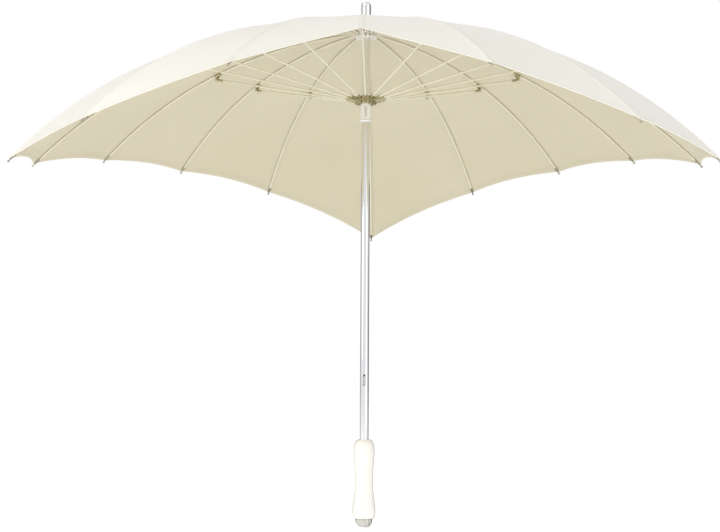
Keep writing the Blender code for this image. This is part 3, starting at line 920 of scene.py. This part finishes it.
def make_handle():
    """The waisted handle, with the tube's bore through it, and the domed cap under it."""
    outer = curve_through((
        (0.0092, 0.1390), (0.0118, 0.1380), (0.0141, 0.1350), (0.0159, 0.1300), (0.0169, 0.1220),
        (0.0168, 0.1120), (0.0158, 0.0990), (0.0148, 0.0860), (0.0145, 0.0740), (0.0150, 0.0610),
        (0.0164, 0.0480), (0.0179, 0.0360), (0.0186, 0.0280), (0.0184, 0.0220), (0.0174, 0.0170),
        (0.0160, 0.0143), (0.0148, 0.0135),
    ), 4)
    profile = [*outer, (0.0074, 0.0135), (0.0074, 0.1385), (0.0080, 0.1390)]
    mesh = mesh_from(lathe(profile, 72), "handle_turned")
    add_piece("handle_turned", mesh, LACQUER, "shaft", ["handle_grip"])
    dome = [(0.0052, 0.0), (0.0074, 0.0005), (0.0098, 0.0021), (0.0119, 0.0048), (0.0132, 0.0082),
            (0.0137, 0.0112), (0.0138, 0.0125), (0.0134, 0.0131), (0.0126, 0.0132)]
    profile = [(0, 0.0), *curve_through(dome, 3), (0.0052, 0.0132), (0, 0.0132)]
    mesh = mesh_from(lathe(profile, 64), "handle_dome")
    add_piece("handle_dome", mesh, CAP_METAL, "shaft", ["handle_cap"])


def with_window(mesh, width, low, high, radius):
    """The mesh with a square window cut through its front wall between two heights."""
    work = bmesh.new()
    place = Matrix.Translation((0, -radius, (low + high) / 2))
    bmesh.ops.create_cube(work, size=1, matrix=place @ Matrix.Diagonal((width, WINDOW_DEPTH, high - low, 1)))
    tool = bpy.data.meshes.new("window")
    work.to_mesh(tool)
    work.free()
    pair = [bpy.data.objects.new("window", data) for data in (mesh, tool)]
    for item in pair:
        bpy.context.scene.collection.objects.link(item)
    cutter = pair[0].modifiers.new("window", "BOOLEAN")
    cutter.object = pair[1]
    cutter.operation = "DIFFERENCE"
    graph = bpy.context.evaluated_depsgraph_get()
    done = bpy.data.meshes.new_from_object(pair[0].evaluated_get(graph))
    for item in pair:
        bpy.data.objects.remove(item)
    smooth(done)
    return done


def make_shaft():
    """The drawn tube with the catch's slot, and the runner's sleeve with its window and rolled collar."""
    low, high = SHAFT_ENDS
    edge = 0.00015
    profile = [
        (SHAFT_BORE, high), (SHAFT_RADIUS - edge, high), (SHAFT_RADIUS, high - edge),
        (SHAFT_RADIUS, low + edge), (SHAFT_RADIUS - edge, low), (SHAFT_BORE, low),
    ]
    mesh = with_window(mesh_from(lathe(profile, 96), "shaft_drawn"), *CATCH_SLOT, SHAFT_RADIUS)
    add_piece("shaft_drawn", mesh, ALUMINIUM, "shaft", ["shaft_tube"])
    collar = curve_through((
        (0.0084, 0.6560), (0.0088, 0.6557), (0.0096, 0.6552), (0.0100, 0.6540), (0.0096, 0.6526),
        (0.0088, 0.6521), (0.0080, 0.6520),
    ), 4)
    profile = [(0.0073, 0.6945), (0.0082, 0.6945), (0.0084, 0.6943), *collar, (0.0073, 0.6520)]
    mesh = with_window(mesh_from(lathe(profile, 72), "sleeve_drawn"), *RUNNER_WINDOW, RUNNER_RADIUS)
    add_piece("sleeve_drawn", mesh, NICKEL, "runner", ["runner_sleeve"])


def make_ferrule():
    """The blind metal cap over the tube's top, which flares out to hold the cloth down."""
    outer = [(0.0048, 0.8500), (0.0064, 0.8497), (0.0073, 0.8487), (0.0078, 0.8468), (0.0078, 0.8380),
             (0.0076, 0.8300), (0.0077, 0.8225), (0.0083, 0.8165), (0.0092, 0.8115), (0.0104, 0.8085),
             (0.0110, 0.8072)]
    profile = [(0, 0.8500), *curve_through(outer, 3), (0.0109, 0.8066), (0.0073, 0.8066), (0.0073, 0.8365),
               (0, 0.8365)]
    mesh = mesh_from(lathe(profile, 56), "ferrule_turned")
    add_piece("ferrule_turned", mesh, CHROME, "shaft", ["ferrule"])


def make_rosette():
    """The gathered disc of cloth under the ferrule."""
    sides, rings = 96, 7
    work = bmesh.new()
    rows = []
    for ring in range(rings + 1):
        share = ring / rings
        row = []
        for step in range(sides):
            turn = 2 * math.pi * step / sides
            wave = math.cos(turn * ROSETTE_FOLDS)
            radius = CLOTH_HOLE + (ROSETTE_RADIUS - CLOTH_HOLE) * share * (1 + 0.012 * wave * share)
            fold = 0.00035 * wave * (1 - share * 0.6)
            row.append(work.verts.new((
                radius * math.cos(turn), radius * math.sin(turn),
                FABRIC_TOP + 0.0014 - drop(radius) * 0.6 - 0.0006 * share + fold,
            )))
        rows.append(row)
    for first, second in zip(rows, rows[1:]):
        for step in range(sides):
            other = (step + 1) % sides
            work.faces.new((first[step], second[step], second[other], first[other]))
    mesh = mesh_from(work, "rosette_cloth")
    sewn, hem = (mesh.uv_layers.new(name=name).name for name in ("sewn", "hem"))
    for loop in mesh.loops:
        point = mesh.vertices[loop.vertex_index].co
        away = math.hypot(point.x, point.y)
        along = math.atan2(point.y, point.x) * 0.02
        mesh.uv_layers[sewn].data[loop.index].uv = (0.05 + away, along)
        mesh.uv_layers[hem].data[loop.index].uv = (along, ROSETTE_RADIUS - away + 0.004)
    piece = add_piece("rosette_cloth", mesh, CLOTH_OUT, "shaft", ["top_rosette"])
    body = piece.modifiers.new("cloth", "SOLIDIFY")
    body.thickness = CLOTH_THICKNESS
    body.offset = 0


def finish_nodes():
    """The CAD nodes that stay shown get their finish, and rounded edges where they have sharp ones."""
    for name, material, width in (
        ("runner_crown", BRASS, 0.00025),
        ("top_notch", NICKEL, 0.00025),
        ("lower_catch", STEEL, 0.00015),
    ):
        node = frame["nodes"][name]
        node.data.materials.clear()
        node.data.materials.append(material)
        weld = node.modifiers.new("weld", "WELD")
        weld.merge_threshold = 1e-5
        bevel = node.modifiers.new("edges", "BEVEL")
        bevel.width = width
        bevel.segments = 2
        bevel.limit_method = "ANGLE"
        bevel.harden_normals = True


# Camera, floor and light

def make_camera():
    """The camera at the photograph's view."""
    data = bpy.data.cameras.new("camera")
    data.lens = CAMERA_LENS
    data.sensor_width = 36.0
    camera = bpy.data.objects.new("camera", data)
    bpy.context.scene.collection.objects.link(camera)
    turn = Matrix.Rotation(CAMERA_TURN, 4, "Z") @ Matrix.Rotation(CAMERA_TILT, 4, "X")
    camera.matrix_world = Matrix.Translation(CAMERA_PLACE) @ turn @ Matrix.Rotation(CAMERA_ROLL, 4, "Z")
    bpy.context.scene.camera = camera


def flag_share(number, x, y):
    """How dark the studio's flags are towards (x, y). number adds a math node and returns its output."""
    azimuth = number("ARCTAN2", x, y)
    dark = 0.0
    for centre, width, depth in FLAGS:
        away = number("ABSOLUTE", number("SUBTRACT", azimuth, math.radians(centre)))
        strip = number("MAXIMUM", number("SUBTRACT", 1.0, number("DIVIDE", away, math.radians(width))), 0.0)
        dark = number("MAXIMUM", number("MULTIPLY", number("POWER", strip, 0.3), depth), dark)
    return dark


def make_floor():
    """A pale floor that glows a little, more so to the camera. Only reflections see the flags on it."""
    paint = Shader("floor_paint", 0.9, Specular_IOR_Level=0.1, Emission_Color=(1, 1, 1, 1))
    place = paint.node("ShaderNodeSeparateXYZ", {"Vector": paint.place()}).outputs
    ray = paint.node("ShaderNodeLightPath").outputs
    flag = paint.math("MULTIPLY", flag_share(paint.math, place[0], place[1]), ray["Is Glossy Ray"])
    cloud = paint.noise(paint.place(), 1.5, 3.0)
    pale = paint.mix(paint.remap(cloud, 0.3, 0.7, 0.0, 1.0), (0.93, 0.93, 0.93), (0.91, 0.91, 0.905))
    paint.color(paint.mix(flag, pale, (0.10, 0.10, 0.10)))
    glow = paint.math("MULTIPLY", paint.math("SUBTRACT", 1.0, flag), FLOOR_GLOW)
    glow = paint.math("ADD", glow, paint.math("MULTIPLY", ray["Is Camera Ray"], FLOOR_WHITER))
    paint.tree.links.new(glow, paint.shader.inputs["Emission Strength"])
    work = bmesh.new()
    bmesh.ops.create_circle(work, cap_ends=True, segments=96, radius=FLOOR_RADIUS)
    mesh = bpy.data.meshes.new("floor")
    work.to_mesh(mesh)
    work.free()
    floor = add_piece("floor", mesh, paint.material)


def make_world():
    """White where the camera sees it. As light it is softer, with the dark flags for metal to reflect."""
    world = bpy.data.worlds.new("studio")
    bpy.context.scene.world = world
    world.use_nodes = True
    nodes, links = world.node_tree.nodes, world.node_tree.links

    def number(operation, *values):
        node = nodes.new("ShaderNodeMath")
        node.operation = operation
        for socket, value in zip(node.inputs, values):
            if isinstance(value, bpy.types.NodeSocket):
                links.new(value, socket)
            else:
                socket.default_value = value
        return node.outputs[0]

    split = nodes.new("ShaderNodeSeparateXYZ")
    links.new(nodes.new("ShaderNodeTexCoord").outputs["Generated"], split.inputs[0])
    dark = flag_share(number, split.outputs[0], split.outputs[1])
    light = number("MULTIPLY", number("SUBTRACT", 1.0, dark), WORLD_LIGHT)
    seen = nodes.new("ShaderNodeLightPath").outputs["Is Camera Ray"]
    back = nodes["Background"]
    back.inputs["Color"].default_value = (1.0, 1.0, 1.0, 1)
    links.new(number("MAXIMUM", seen, light), back.inputs["Strength"])


def make_lights():
    for name, place, size, power in LIGHTS:
        data = bpy.data.lights.new(name, "AREA")
        data.size = size
        data.energy = power
        light = bpy.data.objects.new(name, data)
        bpy.context.scene.collection.objects.link(light)
        light.location = place
        aim = LIGHT_AIM - light.location
        light.rotation_euler = aim.to_track_quat("-Z", "Y").to_euler()
    bpy.context.scene.view_settings.view_transform = "Standard"


make_camera()
make_floor()
make_world()
make_lights()
make_canopy()
for spoke in range(SPOKES):
    make_rib(spoke)
    make_tip(spoke)
    make_bracket(spoke)
    make_stretcher(spoke)
    make_ties(spoke)
make_handle()
make_shaft()
make_ferrule()
make_rosette()
finish_nodes()
note_size()
